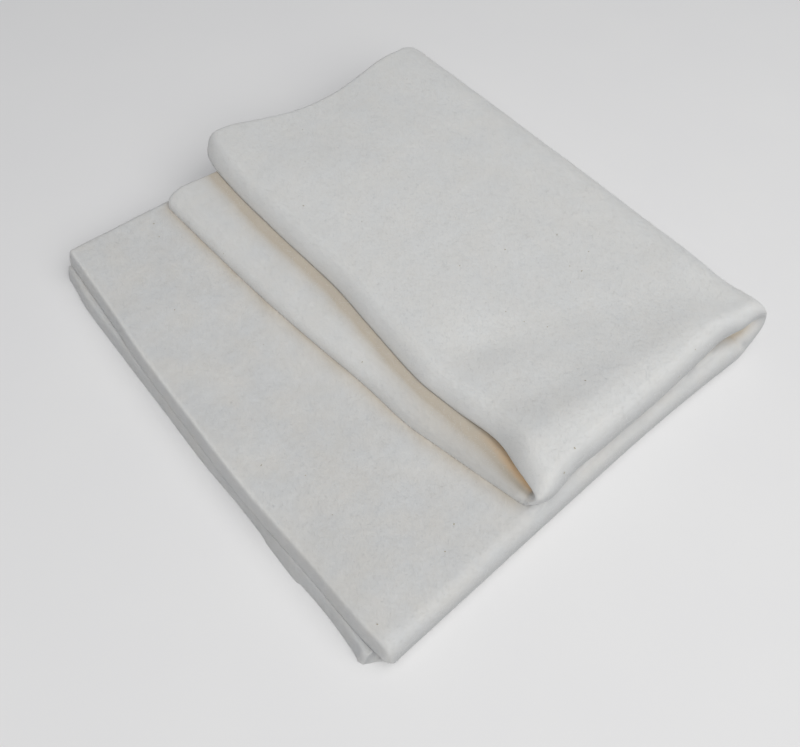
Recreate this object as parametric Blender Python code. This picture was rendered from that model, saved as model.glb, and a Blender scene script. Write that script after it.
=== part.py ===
"""Folded length of wool wadding: one soft sheet, doubled lengthwise and then folded across.

X runs along the long fold, from the cut ends to the cross fold.
Y runs from the long fold to the open side edges, Z is up from the table.
The sheet lies in four layers: 0 on the table, 1 and 2 inside the cross fold, 3 on top.
"""

import math
from typing import NamedTuple

import bmesh
import bpy
from mathutils import Vector

MM = 0.001
NODE_NAME = "folded_wadding"

# Sheet
SHEET_THICKNESS = 8.4
LAYER_PITCH = 9.2
CUT_EDGE_ROUNDING = 2.4
ROUNDING_POWER = 2.3

# Cross fold
CROSS_FOLD_X = 218.4
CROSS_FOLD_BULGE = 1.3
CORNER_REACH = 4.0

# Grid of the solid
EDGE_STEPS = (0.0, 0.3, 1.0, 2.4, 7.0)
ACROSS_STEPS = 20
LONG_FOLD_STEPS = 8
BASE_STEPS = 16
CROSS_FOLD_STEPS = 10
FLAP_STEPS = 11


class Section(NamedTuple):
    """Outline of the doubled sheet at one place along its length, in millimetres."""

    x: float
    long_fold: float
    outer_edge: float
    inner_edge: float


class CutEnd(NamedTuple):
    """Where the sheet ends, by distance from the long fold: below zero is the outer layer."""

    distance: float
    base_x: float
    flap_x: float


class Ridge(NamedTuple):
    """Soft ridge or trough that lifts its own layer and all above it."""

    layer: int
    x: float
    y: float
    turn: float
    length: float
    width: float
    height: float


BASE_SECTIONS = (
    Section(x=-10.0, long_fold=-1.8, outer_edge=253.2, inner_edge=253.2),
    Section(x=30.0, long_fold=-1.2, outer_edge=252.4, inner_edge=252.6),
    Section(x=80.0, long_fold=-0.5, outer_edge=252.0, inner_edge=252.0),
    Section(x=140.0, long_fold=0.1, outer_edge=252.0, inner_edge=251.2),
    Section(x=180.0, long_fold=-0.5, outer_edge=252.6, inner_edge=250.6),
    Section(x=219.0, long_fold=-2.2, outer_edge=253.2, inner_edge=250.0),
)

FLAP_SECTIONS = (
    Section(x=219.0, long_fold=3.6, outer_edge=255.5, inner_edge=249.0),
    Section(x=205.0, long_fold=5.4, outer_edge=256.0, inner_edge=248.5),
    Section(x=188.0, long_fold=6.2, outer_edge=253.0, inner_edge=248.0),
    Section(x=170.0, long_fold=5.6, outer_edge=249.4, inner_edge=247.5),
    Section(x=152.0, long_fold=5.2, outer_edge=248.4, inner_edge=247.0),
    Section(x=134.0, long_fold=5.2, outer_edge=251.0, inner_edge=246.0),
    Section(x=117.0, long_fold=5.2, outer_edge=256.0, inner_edge=245.0),
    Section(x=103.0, long_fold=5.6, outer_edge=261.4, inner_edge=245.0),
    Section(x=92.0, long_fold=4.0, outer_edge=262.8, inner_edge=245.4),
    Section(x=82.0, long_fold=2.6, outer_edge=261.0, inner_edge=246.2),
    Section(x=55.0, long_fold=4.0, outer_edge=260.0, inner_edge=248.6),
)

CUT_ENDS = (
    CutEnd(distance=-262.0, base_x=-5.5, flap_x=92.0),
    CutEnd(distance=-245.0, base_x=-6.5, flap_x=82.5),
    CutEnd(distance=-215.0, base_x=-9.2, flap_x=79.6),
    CutEnd(distance=-190.0, base_x=-9.8, flap_x=79.0),
    CutEnd(distance=-152.0, base_x=-10.8, flap_x=82.0),
    CutEnd(distance=-115.0, base_x=-10.9, flap_x=80.2),
    CutEnd(distance=-75.0, base_x=-10.0, flap_x=78.0),
    CutEnd(distance=-38.0, base_x=-9.6, flap_x=83.6),
    CutEnd(distance=-14.0, base_x=-10.2, flap_x=82.6),
    CutEnd(distance=-5.0, base_x=-10.4, flap_x=81.4),
    CutEnd(distance=-1.5, base_x=-3.0, flap_x=80.6),
    CutEnd(distance=0.0, base_x=-3.6, flap_x=80.0),
    CutEnd(distance=5.0, base_x=-3.4, flap_x=78.6),
    CutEnd(distance=20.0, base_x=-2.6, flap_x=74.0),
    CutEnd(distance=55.0, base_x=-3.6, flap_x=67.2),
    CutEnd(distance=105.0, base_x=-5.4, flap_x=60.6),
    CutEnd(distance=155.0, base_x=-4.6, flap_x=55.6),
    CutEnd(distance=205.0, base_x=-2.4, flap_x=53.0),
    CutEnd(distance=250.0, base_x=-0.6, flap_x=53.0),
)

RIDGES = (
    Ridge(layer=1, x=60.0, y=14.0, turn=0.0, length=80.0, width=11.0, height=0.8),
    Ridge(layer=1, x=60.0, y=140.0, turn=-50.0, length=60.0, width=30.0, height=0.6),
    Ridge(layer=2, x=221.0, y=120.0, turn=90.0, length=200.0, width=12.0, height=1.6),
    Ridge(layer=2, x=100.0, y=180.0, turn=90.0, length=60.0, width=30.0, height=0.6),
    Ridge(layer=3, x=150.0, y=24.0, turn=0.0, length=110.0, width=12.0, height=2.2),
    Ridge(layer=3, x=84.0, y=20.0, turn=60.0, length=22.0, width=16.0, height=2.4),
    Ridge(layer=3, x=80.0, y=150.0, turn=90.0, length=50.0, width=16.0, height=2.6),
    Ridge(layer=3, x=135.0, y=170.0, turn=-38.0, length=70.0, width=34.0, height=1.8),
    Ridge(layer=3, x=84.0, y=262.0, turn=45.0, length=26.0, width=22.0, height=1.8),
)


def between(start: float, finish: float, share: float) -> float:
    """Value that lies this share of the way from start to finish."""
    return start + (finish - start) * share


def smooth(share: float) -> float:
    """Share from 0 to 1, eased at both ends."""
    share = min(max(share, 0.0), 1.0)
    return share * share * (3.0 - 2.0 * share)


def curve_through(places, values, place: float) -> float:
    """Value at a place on a soft curve through the values, with places in rising order."""
    last = len(places) - 1
    if place <= places[0]:
        return values[0]
    if place >= places[last]:
        return values[last]
    left = max(i for i in range(last) if places[i] <= place)
    right = left + 1
    gap = places[right] - places[left]

    def slope(i: int) -> float:
        before = max(i - 1, 0)
        after = min(i + 1, last)
        return (values[after] - values[before]) / (places[after] - places[before])

    t = (place - places[left]) / gap
    square = t * t
    cube = square * t
    value = (2 * cube - 3 * square + 1) * values[left]
    value += (cube - 2 * square + t) * gap * slope(left)
    value += (3 * square - 2 * cube) * values[right]
    value += (cube - square) * gap * slope(right)
    return value


def section_at(sections, x: float) -> Section:
    """Outline of the doubled sheet at x, from the rows on either side."""
    rows = sorted(sections, key=lambda row: row.x)
    places = [row.x for row in rows]
    return Section(
        x,
        curve_through(places, [row.long_fold for row in rows], x),
        curve_through(places, [row.outer_edge for row in rows], x),
        curve_through(places, [row.inner_edge for row in rows], x),
    )


def cut_end_at(distance: float) -> tuple:
    """Ends of the base and of the flap at this signed distance from the long fold."""
    places = [row.distance for row in CUT_ENDS]
    base_x = curve_through(places, [row.base_x for row in CUT_ENDS], distance)
    flap_x = curve_through(places, [row.flap_x for row in CUT_ENDS], distance)
    return base_x, flap_x


def layer_height(layer: float, x: float, y: float) -> float:
    """Height of a layer's middle at a place on the plan, blended between whole layers."""
    height = SHEET_THICKNESS / 2 + layer * LAYER_PITCH
    for row in RIDGES:
        turn = math.radians(row.turn)
        along = (x - row.x) * math.cos(turn) + (y - row.y) * math.sin(turn)
        side = (y - row.y) * math.cos(turn) - (x - row.x) * math.sin(turn)
        bump = math.exp(-0.5 * ((along / row.length) ** 2 + (side / row.width) ** 2))
        part_of = min(max(layer - row.layer + 1.0, 0.0), 1.0)
        height += row.height * bump * part_of
    return height


def across_place(section: Section, across: float) -> tuple:
    """Y and signed distance for a place across the sheet: -2 outer edge, 0 long fold, 2 inner edge."""
    radius = LAYER_PITCH / 2
    crest = section.long_fold + SHEET_THICKNESS / 2
    if abs(across) < 1.0:
        inward = radius * (1.0 - math.cos(across * math.pi / 2))
    else:
        edge = section.outer_edge if across < 0 else section.inner_edge
        inward = between(radius, edge - crest, abs(across) - 1.0)
    return crest + inward, math.copysign(inward, across)


def middle_point(run: float, across: float) -> Vector:
    """Middle of the sheet's thickness: run 0 to 1 is the base, to 2 the cross fold, to 3 the flap."""
    inside = (1.0 + math.sin(min(max(across, -1.0), 1.0) * math.pi / 2)) / 2
    if run <= 1.0 or run >= 2.0:
        sections = BASE_SECTIONS if run <= 1.0 else FLAP_SECTIONS
        x = CROSS_FOLD_X
        for _ in range(3):
            y, distance = across_place(section_at(sections, x), across)
            base_x, flap_x = cut_end_at(distance)
            if run <= 1.0:
                x = between(base_x, CROSS_FOLD_X, run)
            else:
                x = between(CROSS_FOLD_X, flap_x, run - 2.0)
        layer = inside if run <= 1.0 else 3.0 - inside
        return Vector((x, y, layer_height(layer, x, y)))
    y_low, _ = across_place(section_at(BASE_SECTIONS, CROSS_FOLD_X), across)
    y_high, _ = across_place(section_at(FLAP_SECTIONS, CROSS_FOLD_X), across)
    turn = (run - 1.5) * math.pi
    y = between(y_low, y_high, smooth(run - 1.0))
    low = layer_height(inside, CROSS_FOLD_X, y)
    high = layer_height(3.0 - inside, CROSS_FOLD_X, y)
    reach = between(1.5, 0.5, inside) * LAYER_PITCH + CROSS_FOLD_BULGE
    reach += CORNER_REACH * 4.0 * inside * (1.0 - inside)
    x = CROSS_FOLD_X + reach * math.cos(turn)
    z = (low + high) / 2 + (high - low) / 2 * math.sin(turn)
    return Vector((x, y, z))


def zone_marks(length: float, steps: int) -> list:
    """Shares of a zone that starts at a cut edge: close rows for the rounding, then even ones."""
    marks = [step / length for step in EDGE_STEPS]
    rest = 1.0 - marks[-1]
    marks += [marks[-1] + rest * i / steps for i in range(1, steps + 1)]
    return marks


def grid_marks() -> tuple:
    """Run and across marks of the whole sheet, each with its distance from the cut edge."""
    base = zone_marks(CROSS_FOLD_X, BASE_STEPS)
    flap = zone_marks(CROSS_FOLD_X - 80.0, FLAP_STEPS)
    side = zone_marks(245.0, ACROSS_STEPS)
    runs = list(base)
    runs += [1.0 + i / CROSS_FOLD_STEPS for i in range(1, CROSS_FOLD_STEPS)]
    runs += [3.0 - mark for mark in reversed(flap)]
    across = [mark - 2.0 for mark in side]
    across += [2.0 * i / LONG_FOLD_STEPS - 1.0 for i in range(1, LONG_FOLD_STEPS)]
    across += [2.0 - mark for mark in reversed(side)]
    return runs, across


def edge_share(step: int, count: int) -> float:
    """Part of the full thickness at one grid line, which is nothing on the cut edge."""
    from_edge = min(step, count - 1 - step)
    if from_edge >= len(EDGE_STEPS):
        return 1.0
    inward = min(EDGE_STEPS[from_edge] / CUT_EDGE_ROUNDING, 1.0)
    power = ROUNDING_POWER
    return (1.0 - (1.0 - inward) ** power) ** (1.0 / power)


def sheet_mesh() -> bmesh.types.BMesh:
    """Closed body of the sheet: two skins on the folded middle, joined along the cut edges."""
    runs, across = grid_marks()
    rows = [[middle_point(run, side) for side in across] for run in runs]
    mesh = bmesh.new()
    outer = []
    inner = []
    for i, row in enumerate(rows):
        outer_row = []
        inner_row = []
        for j, point in enumerate(row):
            along = rows[min(i + 1, len(rows) - 1)][j] - rows[max(i - 1, 0)][j]
            sideways = row[min(j + 1, len(row) - 1)] - row[max(j - 1, 0)]
            normal = along.cross(sideways).normalized()
            share = edge_share(i, len(rows)) * edge_share(j, len(row))
            half = SHEET_THICKNESS / 2 * share
            outer_row.append(mesh.verts.new((point - normal * half) * MM))
            if share > 0.0:
                inner_row.append(mesh.verts.new((point + normal * half) * MM))
            else:
                inner_row.append(outer_row[-1])
        outer.append(outer_row)
        inner.append(inner_row)
    for i in range(len(rows) - 1):
        for j in range(len(across) - 1):
            for skin in (outer, inner):
                corners = (skin[i][j], skin[i + 1][j], skin[i + 1][j + 1], skin[i][j + 1])
                mesh.faces.new(corners)
    bmesh.ops.triangulate(mesh, faces=mesh.faces[:])
    bmesh.ops.recalc_face_normals(mesh, faces=mesh.faces[:])
    return mesh


def stand_on_table(mesh: bmesh.types.BMesh) -> None:
    """Move the body so the middle of its box is over the origin and its underside at zero."""
    xs = [vertex.co.x for vertex in mesh.verts]
    ys = [vertex.co.y for vertex in mesh.verts]
    zs = [vertex.co.z for vertex in mesh.verts]
    middle = Vector(((min(xs) + max(xs)) / 2, (min(ys) + max(ys)) / 2, min(zs)))
    bmesh.ops.translate(mesh, verts=mesh.verts[:], vec=-middle)


def wool_material() -> bpy.types.Material:
    """Off-white wool felt, dull all over."""
    material = bpy.data.materials.new("off_white_wool_wadding")
    material.use_nodes = True
    surface = material.node_tree.nodes["Principled BSDF"]
    surface.inputs["Base Color"].default_value = (0.66, 0.65, 0.62, 1.0)
    surface.inputs["Roughness"].default_value = 0.95
    return material


def main() -> None:
    """Build the one folded sheet in its own collection."""
    for thing in list(bpy.data.objects):
        bpy.data.objects.remove(thing, do_unlink=True)
    collection = bpy.data.collections.new("folded_wool_wadding")
    bpy.context.scene.collection.children.link(collection)
    mesh = sheet_mesh()
    stand_on_table(mesh)
    data = bpy.data.meshes.new(NODE_NAME)
    mesh.to_mesh(data)
    mesh.free()
    data.materials.append(wool_material())
    sheet = bpy.data.objects.new(NODE_NAME, data)
    collection.objects.link(sheet)


if __name__ == "__main__":
    main()
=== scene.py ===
"""Folded length of off-white wool wadding, dressed for its portrait.

The sheet is doubled lengthwise, then folded across, so it lies in four layers.
Sizes are millimetres in the sheet's own frame: X runs along the long fold, from the cut ends
to the cross fold, Y from the long fold to the open side edges, and Z up from the table.
"""

import logging
import math
from abc import ABC, abstractmethod
from dataclasses import dataclass
from enum import Enum, IntEnum
from typing import Any, NamedTuple

import bmesh
import bpy
import numpy as np
from bpy.types import Material, Mesh, Node, NodeSocket, NodeTree, Object
from mathutils import Matrix, Vector, noise
from mathutils.bvhtree import BVHTree


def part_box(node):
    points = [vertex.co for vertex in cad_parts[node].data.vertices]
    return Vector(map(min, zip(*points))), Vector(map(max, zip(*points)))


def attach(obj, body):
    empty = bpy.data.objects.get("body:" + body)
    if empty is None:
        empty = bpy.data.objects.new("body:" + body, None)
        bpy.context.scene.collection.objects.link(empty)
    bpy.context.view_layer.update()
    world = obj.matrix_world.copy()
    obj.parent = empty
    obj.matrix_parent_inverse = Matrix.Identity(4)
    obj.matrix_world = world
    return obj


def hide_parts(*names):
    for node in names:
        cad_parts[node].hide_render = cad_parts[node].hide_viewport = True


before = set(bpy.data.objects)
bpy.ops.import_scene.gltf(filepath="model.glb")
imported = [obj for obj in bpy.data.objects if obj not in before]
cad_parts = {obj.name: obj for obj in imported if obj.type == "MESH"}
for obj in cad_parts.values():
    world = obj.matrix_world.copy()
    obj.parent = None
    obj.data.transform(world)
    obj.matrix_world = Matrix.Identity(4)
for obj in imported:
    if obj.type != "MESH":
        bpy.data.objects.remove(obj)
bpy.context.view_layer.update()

LOG = logging.getLogger("wadding")
MM = 0.001
NODE = "folded_wadding"
BODY = "root"

# The solid's lowest X and Y in the sheet's own frame
LOWEST_X = -10.96
LOWEST_Y = -2.17


class Layer(IntEnum):
    """The four layers of the folded sheet, from the table up."""

    UNDER = 0
    BASE = 1
    FLAP_UNDER = 2
    FLAP = 3


class Mark(Enum):
    """What is kept for each point of the sheet, by the name of its attribute."""

    # SHELTER and TIP place painted shade and glow in the folds, FLANK painted shade, UPPER and the cut-end
    # mark painted light; NAP says where nap grows
    SHELTER = "shelter"
    FLANK = "flank"
    UPPER = "upper"
    PAINTED_END_LIGHT = "painted_end_light"
    TIP = "tip"
    NAP = "nap"


class Spread(Enum):
    """How a value runs from none to its most."""

    EVEN = "LINEAR"
    EASED = "SMOOTHSTEP"


class Section(NamedTuple):
    """Outline of the doubled sheet at one place along its length."""

    x: float
    long_fold: float
    outer_edge: float
    inner_edge: float


class EndMark(NamedTuple):
    """Where the sheet ends, by distance from the long fold: below zero is the outer layer."""

    distance: float
    x: float


class Ridge(NamedTuple):
    """Soft ridge or trough that lifts its own layer and all above it."""

    layer: Layer
    x: float
    y: float
    turn: float
    length: float
    width: float
    height: float


class Press(NamedTuple):
    """Push on the skin round a short line, as by a finger or a crease."""

    start: tuple[float, float, float]
    finish: tuple[float, float, float]
    push: tuple[float, float, float]
    width: float


BASE_SECTIONS = (
    Section(x=-10.0, long_fold=-1.8, outer_edge=253.2, inner_edge=253.2),
    Section(x=30.0, long_fold=-1.2, outer_edge=252.4, inner_edge=252.6),
    Section(x=80.0, long_fold=-0.5, outer_edge=252.0, inner_edge=252.0),
    Section(x=140.0, long_fold=0.1, outer_edge=252.0, inner_edge=251.2),
    Section(x=180.0, long_fold=-0.5, outer_edge=252.6, inner_edge=250.6),
    Section(x=219.0, long_fold=-2.2, outer_edge=253.2, inner_edge=250.0),
)

FLAP_SECTIONS = (
    Section(x=55.0, long_fold=4.0, outer_edge=260.0, inner_edge=248.6),
    Section(x=82.0, long_fold=2.6, outer_edge=261.0, inner_edge=246.2),
    Section(x=92.0, long_fold=4.0, outer_edge=262.8, inner_edge=245.4),
    Section(x=103.0, long_fold=5.6, outer_edge=261.4, inner_edge=245.0),
    Section(x=117.0, long_fold=5.2, outer_edge=256.0, inner_edge=245.0),
    Section(x=134.0, long_fold=5.2, outer_edge=251.0, inner_edge=246.0),
    Section(x=152.0, long_fold=5.2, outer_edge=248.4, inner_edge=247.0),
    Section(x=170.0, long_fold=5.6, outer_edge=249.4, inner_edge=247.5),
    Section(x=188.0, long_fold=6.4, outer_edge=253.0, inner_edge=248.0),
    Section(x=205.0, long_fold=6.4, outer_edge=256.0, inner_edge=248.5),
    Section(x=219.0, long_fold=2.6, outer_edge=255.5, inner_edge=249.0),
)

BASE_END = tuple(
    EndMark(distance, x)
    for distance, x in (
        (-250.0, -6.6), (-238.0, -7.8), (-227.0, -9.1), (-190.0, -9.7), (-150.0, -10.0),
        (-116.0, -10.4), (-90.0, -9.5), (-52.0, -9.6), (-28.0, -8.7), (-10.0, -9.4), (-5.0, -9.8),
        (-1.5, -4.0), (0.0, -3.8), (12.0, -5.0), (42.0, -6.0), (67.0, -7.2), (90.0, -8.2),
        (126.0, -7.8), (175.0, -6.8), (200.0, -5.1), (250.0, -2.6),
    )
)

FLAP_END = tuple(
    EndMark(distance, x)
    for distance, x in (
        (-262.0, 92.0), (-245.0, 85.0), (-220.0, 82.7), (-175.0, 83.0), (-137.0, 84.2),
        (-109.0, 82.5), (-73.0, 80.8), (-60.0, 82.2), (-48.0, 83.8), (-34.0, 85.7), (-25.0, 85.4),
        (-14.0, 82.8), (-5.0, 81.2), (0.0, 80.0), (6.0, 78.0), (16.0, 75.8), (40.0, 70.9),
        (62.0, 66.3), (89.0, 64.4), (122.0, 60.6), (154.0, 57.5), (206.0, 54.6), (245.0, 53.0),
    )
)

# Main folds, as in the solid, then the small ones that only show close to
RIDGES = (
    Ridge(Layer.BASE, x=60.0, y=14.0, turn=0.0, length=80.0, width=11.0, height=0.8),
    Ridge(Layer.BASE, x=60.0, y=140.0, turn=-50.0, length=60.0, width=30.0, height=0.6),
    Ridge(Layer.FLAP_UNDER, x=221.0, y=120.0, turn=90.0, length=200.0, width=12.0, height=1.6),
    Ridge(Layer.FLAP_UNDER, x=100.0, y=180.0, turn=90.0, length=60.0, width=30.0, height=0.6),
    Ridge(Layer.FLAP, x=166.0, y=15.5, turn=-3.0, length=44.0, width=7.5, height=1.8),
    Ridge(Layer.FLAP, x=152.0, y=20.5, turn=-4.0, length=40.0, width=24.0, height=2.6),
    Ridge(Layer.FLAP, x=106.0, y=23.5, turn=-3.0, length=22.0, width=9.0, height=2.3),
    Ridge(Layer.FLAP, x=140.0, y=4.0, turn=0.0, length=42.0, width=8.0, height=-2.2),
    Ridge(Layer.FLAP, x=226.0, y=26.0, turn=0.0, length=12.0, width=10.0, height=-2.1),
    Ridge(Layer.FLAP, x=222.0, y=9.0, turn=0.0, length=10.0, width=5.0, height=1.0),
    Ridge(Layer.FLAP, x=84.0, y=26.0, turn=70.0, length=14.0, width=13.0, height=1.6),
    Ridge(Layer.FLAP, x=112.0, y=150.0, turn=90.0, length=50.0, width=14.0, height=1.2),
    Ridge(Layer.FLAP, x=140.0, y=170.0, turn=-38.0, length=60.0, width=34.0, height=1.8),
    Ridge(Layer.FLAP, x=84.0, y=262.0, turn=45.0, length=26.0, width=22.0, height=1.8),
    Ridge(Layer.FLAP, x=104.0, y=74.0, turn=-16.0, length=18.0, width=8.0, height=-2.0),
    Ridge(Layer.FLAP, x=138.0, y=61.0, turn=-24.0, length=22.0, width=9.0, height=-0.4),
    Ridge(Layer.FLAP, x=176.0, y=44.0, turn=-18.0, length=20.0, width=9.0, height=-0.8),
    Ridge(Layer.FLAP, x=170.0, y=205.0, turn=8.0, length=34.0, width=26.0, height=1.3),
    Ridge(Layer.FLAP, x=112.0, y=206.0, turn=-30.0, length=26.0, width=13.0, height=0.7),
    Ridge(Layer.BASE, x=28.0, y=30.0, turn=12.0, length=30.0, width=10.0, height=0.4),
    Ridge(Layer.BASE, x=38.0, y=215.0, turn=80.0, length=26.0, width=12.0, height=0.5),
)

PRESSES = (
    Press(start=(-10.2, 50.0, 0.2), finish=(-10.8, 71.5, 0.2), push=(-1.0, 0.0, 0.0), width=1.3),
    Press(start=(234.0, 4.0, 8.0), finish=(235.5, 4.0, 15.0), push=(2.4, -0.6, 0.0), width=5.0),
    Press(start=(217.5, 6.5, 17.2), finish=(223.5, -0.5, 13.0), push=(0.0, 1.0, -0.4), width=1.6),
)


@dataclass(frozen=True)
class SoftCurve:
    """Soft curve through the rows of a short table."""

    places: tuple[float, ...]
    values: tuple[float, ...]

    def at(self, place: np.ndarray) -> np.ndarray:
        """Read the curve, which stays level beyond its ends.

        Args:
            place: Where to read it.

        Returns:
            The value at each place.
        """
        knots = np.asarray(self.places)
        values = np.asarray(self.values)
        last = len(knots) - 1
        after = np.minimum(np.arange(last + 1) + 1, last)
        before = np.maximum(np.arange(last + 1) - 1, 0)
        slopes = (values[after] - values[before]) / (knots[after] - knots[before])
        spot = np.clip(place, knots[0], knots[-1])
        left = np.clip(np.searchsorted(knots, spot, side="right") - 1, 0, last - 1)
        gap = knots[left + 1] - knots[left]
        t = (spot - knots[left]) / gap
        square = t * t
        cube = square * t
        result = (2 * cube - 3 * square + 1) * values[left]
        result += (cube - 2 * square + t) * gap * slopes[left]
        result += (3 * square - 2 * cube) * values[left + 1]
        result += (cube - square) * gap * slopes[left + 1]
        return result


def between(start: Any, finish: Any, share: Any) -> Any:
    """Value that lies this share of the way from start to finish."""
    return start + (finish - start) * share


def eased(share: np.ndarray) -> np.ndarray:
    """Share held from 0 to 1 and eased at both ends."""
    held = np.clip(share, 0.0, 1.0)
    return held * held * (3.0 - 2.0 * held)


def ramp(value: float, start: float, over: float) -> float:
    """Share of the way from start, held from 0 to 1."""
    return min(max((value - start) / over, 0.0), 1.0)


def bell(distance: Any, width: float) -> Any:
    """Bell that is one at no distance and fades over this width."""
    return np.exp(-0.5 * (distance / width) ** 2)


def graded(start: float, finish: float, first_step: float, last_step: float) -> list[float]:
    """Places from start to finish, both left in, whose steps change evenly in size.

    Args:
        start: First place.
        finish: Last place.
        first_step: Rough size of the first step.
        last_step: Rough size of the last step.

    Returns:
        The places, in order.
    """
    count = max(round((finish - start) / ((first_step + last_step) / 2)), 1)
    steps = np.linspace(first_step, last_step, count)
    marks = np.concatenate(([0.0], np.cumsum(steps)))
    return list(start + (finish - start) * marks / marks[-1])


@dataclass(frozen=True)
class CutEdge:
    """Shape of one cut edge: how far in it starts to thin, and how round it is.

    A feathered edge thins to its lip first, and only the lip is rounded off.
    """

    reach: float
    power: float
    lip: float = 0.0
    lip_reach: float = 1.0

    def share(self, distance: np.ndarray) -> np.ndarray:
        """Work out how thick the sheet is near this edge.

        Args:
            distance: Distance from the edge.

        Returns:
            Part of the full thickness that is left.
        """
        left = 1.0 - np.clip(distance / self.reach, 0.0, 1.0)
        thinned = (1.0 - left**self.power) ** (1.0 / self.power)
        if self.lip == 0.0:
            return thinned
        nose = 1.0 - np.clip(distance / self.lip_reach, 0.0, 1.0)
        return between(self.lip, 1.0, thinned) * np.sqrt(1.0 - nose**2)


@dataclass
class FoldedSheet:
    """The one cut length of wadding, with its two folds and four cut edges."""

    thickness: float = 8.4
    layer_pitch: float = 9.2
    cross_fold_x: float = 218.4
    cross_fold_bulge: float = 1.3
    flap_length: float = 138.4
    side_width: float = 245.0
    # Pinched corner, where the long fold goes round the cross fold and leaves a small pocket
    pinch_x: float = 224.0
    pinch_length: float = 11.0
    pinch_depth: float = 8.0
    pinched_share: float = 0.3
    pinch_rate: float = 1.6
    pocket_reach: float = 6.5
    pocket_lift: float = 3.6
    outer_reach: float = 0.6
    outer_drop: float = 1.4
    corner_reach: float = 4.0
    corner_lean: float = 0.34
    # Cut edges: the base's ends are slanted cuts, the flap's are soft rolls, the sides are round
    base_end: CutEdge = CutEdge(reach=2.6, power=1.12)
    flap_end: CutEdge = CutEdge(reach=8.2, power=1.4)
    tucked_end: CutEdge = CutEdge(reach=9.5, power=1.4, lip=0.3, lip_reach=1.9)
    side_edge: CutEdge = CutEdge(reach=3.0, power=2.2)
    # How far a cut end's rim drops, as a share of half the thickness
    base_drop: float = 1.12
    flap_drop: float = 1.15
    tucked_drop: float = 1.48
    tip_drop: float = 0.5
    tip_from: float = 30.0
    tip_over: float = 30.0
    # Sheet's corners, rounded on the plan, outer layer then inner layer
    base_corners: tuple[float, float] = (2.0, 2.0)
    flap_corners: tuple[float, float] = (4.0, 4.0)
    # Uneven loft of the wool
    lump_size: float = 16.0
    lump_height: float = 0.28
    lump_floor: float = 0.2
    # Where the flap's end lies down on the layer below
    settled_length: float = 30.0
    settled_from: float = 52.0
    settled_over: float = 26.0
    # Grid, and the rounds in which a slanted end finds its place
    edge_steps: tuple[float, ...] = (0.0, 0.15, 0.5, 1.1, 2.0, 3.0, 4.4, 6.2, 8.6)
    run_step: float = 2.5
    turn_steps: int = 46
    side_step: float = 2.9
    near_fold_step: float = 1.9
    fold_steps: int = 28
    end_rounds: int = 3

    def run_marks(self) -> np.ndarray:
        """Place the grid's lines along the sheet.

        Returns:
            Marks: 0 to 1 is the base, to 2 the cross fold, and to 3 the flap.
        """
        base = list(self.edge_steps[:-1])
        base += graded(self.edge_steps[-1], self.cross_fold_x, self.run_step, self.run_step)
        flap = list(self.edge_steps[:-1])
        flap += graded(self.edge_steps[-1], self.flap_length, self.run_step, self.run_step)
        marks = [place / self.cross_fold_x for place in base]
        marks += [1.0 + i / self.turn_steps for i in range(1, self.turn_steps)]
        marks += [3.0 - place / self.flap_length for place in reversed(flap)]
        return np.array(marks)

    def across_marks(self) -> np.ndarray:
        """Place the grid's lines across the sheet.

        Returns:
            Marks: -2 is the outer edge, 0 the long fold and 2 the inner edge.
        """
        side = list(self.edge_steps[:-1])
        side += graded(self.edge_steps[-1], self.side_width, self.side_step, self.near_fold_step)
        shares = [place / self.side_width for place in side]
        marks = [share - 2.0 for share in shares]
        marks += [2.0 * i / self.fold_steps - 1.0 for i in range(1, self.fold_steps)]
        marks += [2.0 - share for share in reversed(shares)]
        return np.array(marks)

    def raised(self, top: bool, layer: np.ndarray, x: np.ndarray, y: np.ndarray) -> np.ndarray:
        """Sum of the ridges and troughs at a place.

        Args:
            top: Whether to sum the top layer's rows, or all the others.
            layer: Number of the layer, 0 on the table and 3 on top.
            x: Place along the long fold.
            y: Place away from it.

        Returns:
            Height that the rows add to the layer.
        """
        height = np.zeros_like(x)
        for row in RIDGES:
            if (row.layer is Layer.FLAP) is not top:
                continue
            turn = math.radians(row.turn)
            along = (x - row.x) * math.cos(turn) + (y - row.y) * math.sin(turn)
            side = (y - row.y) * math.cos(turn) - (x - row.x) * math.sin(turn)
            part_of = np.clip(layer - float(row.layer) + 1.0, 0.0, 1.0)
            height = height + row.height * bell(along, row.length) * bell(side, row.width) * part_of
        return height

    def layer_height(self, layer: np.ndarray, x: np.ndarray, y: np.ndarray) -> np.ndarray:
        """Height of a layer's middle on the plan, blended between whole layers, without loft."""
        return self.thickness / 2 + layer * self.layer_pitch + self.raised(False, layer, x, y)

    def across_place(
        self, sections: tuple[Section, ...], x: np.ndarray, across: np.ndarray
    ) -> tuple[np.ndarray, np.ndarray]:
        """Where a mark across the sheet lies on the plan.

        Args:
            sections: Outline of this half of the sheet, with x rising.
            x: Place along the long fold.
            across: Mark across the sheet.

        Returns:
            The Y place, and the signed distance from the long fold's crest.
        """
        places, *outline = zip(*sections)
        long_fold, outer, inner = (SoftCurve(places, values).at(x) for values in outline)
        radius = self.layer_pitch / 2
        crest = long_fold + self.thickness / 2
        edge = np.where(across < 0.0, outer, inner)
        round_part = radius * (1.0 - np.cos(across * math.pi / 2))
        flat_part = between(radius, edge - crest, np.abs(across) - 1.0)
        inward = np.where(np.abs(across) < 1.0, round_part, flat_part)
        return crest + inward, np.copysign(inward, across)

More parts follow.
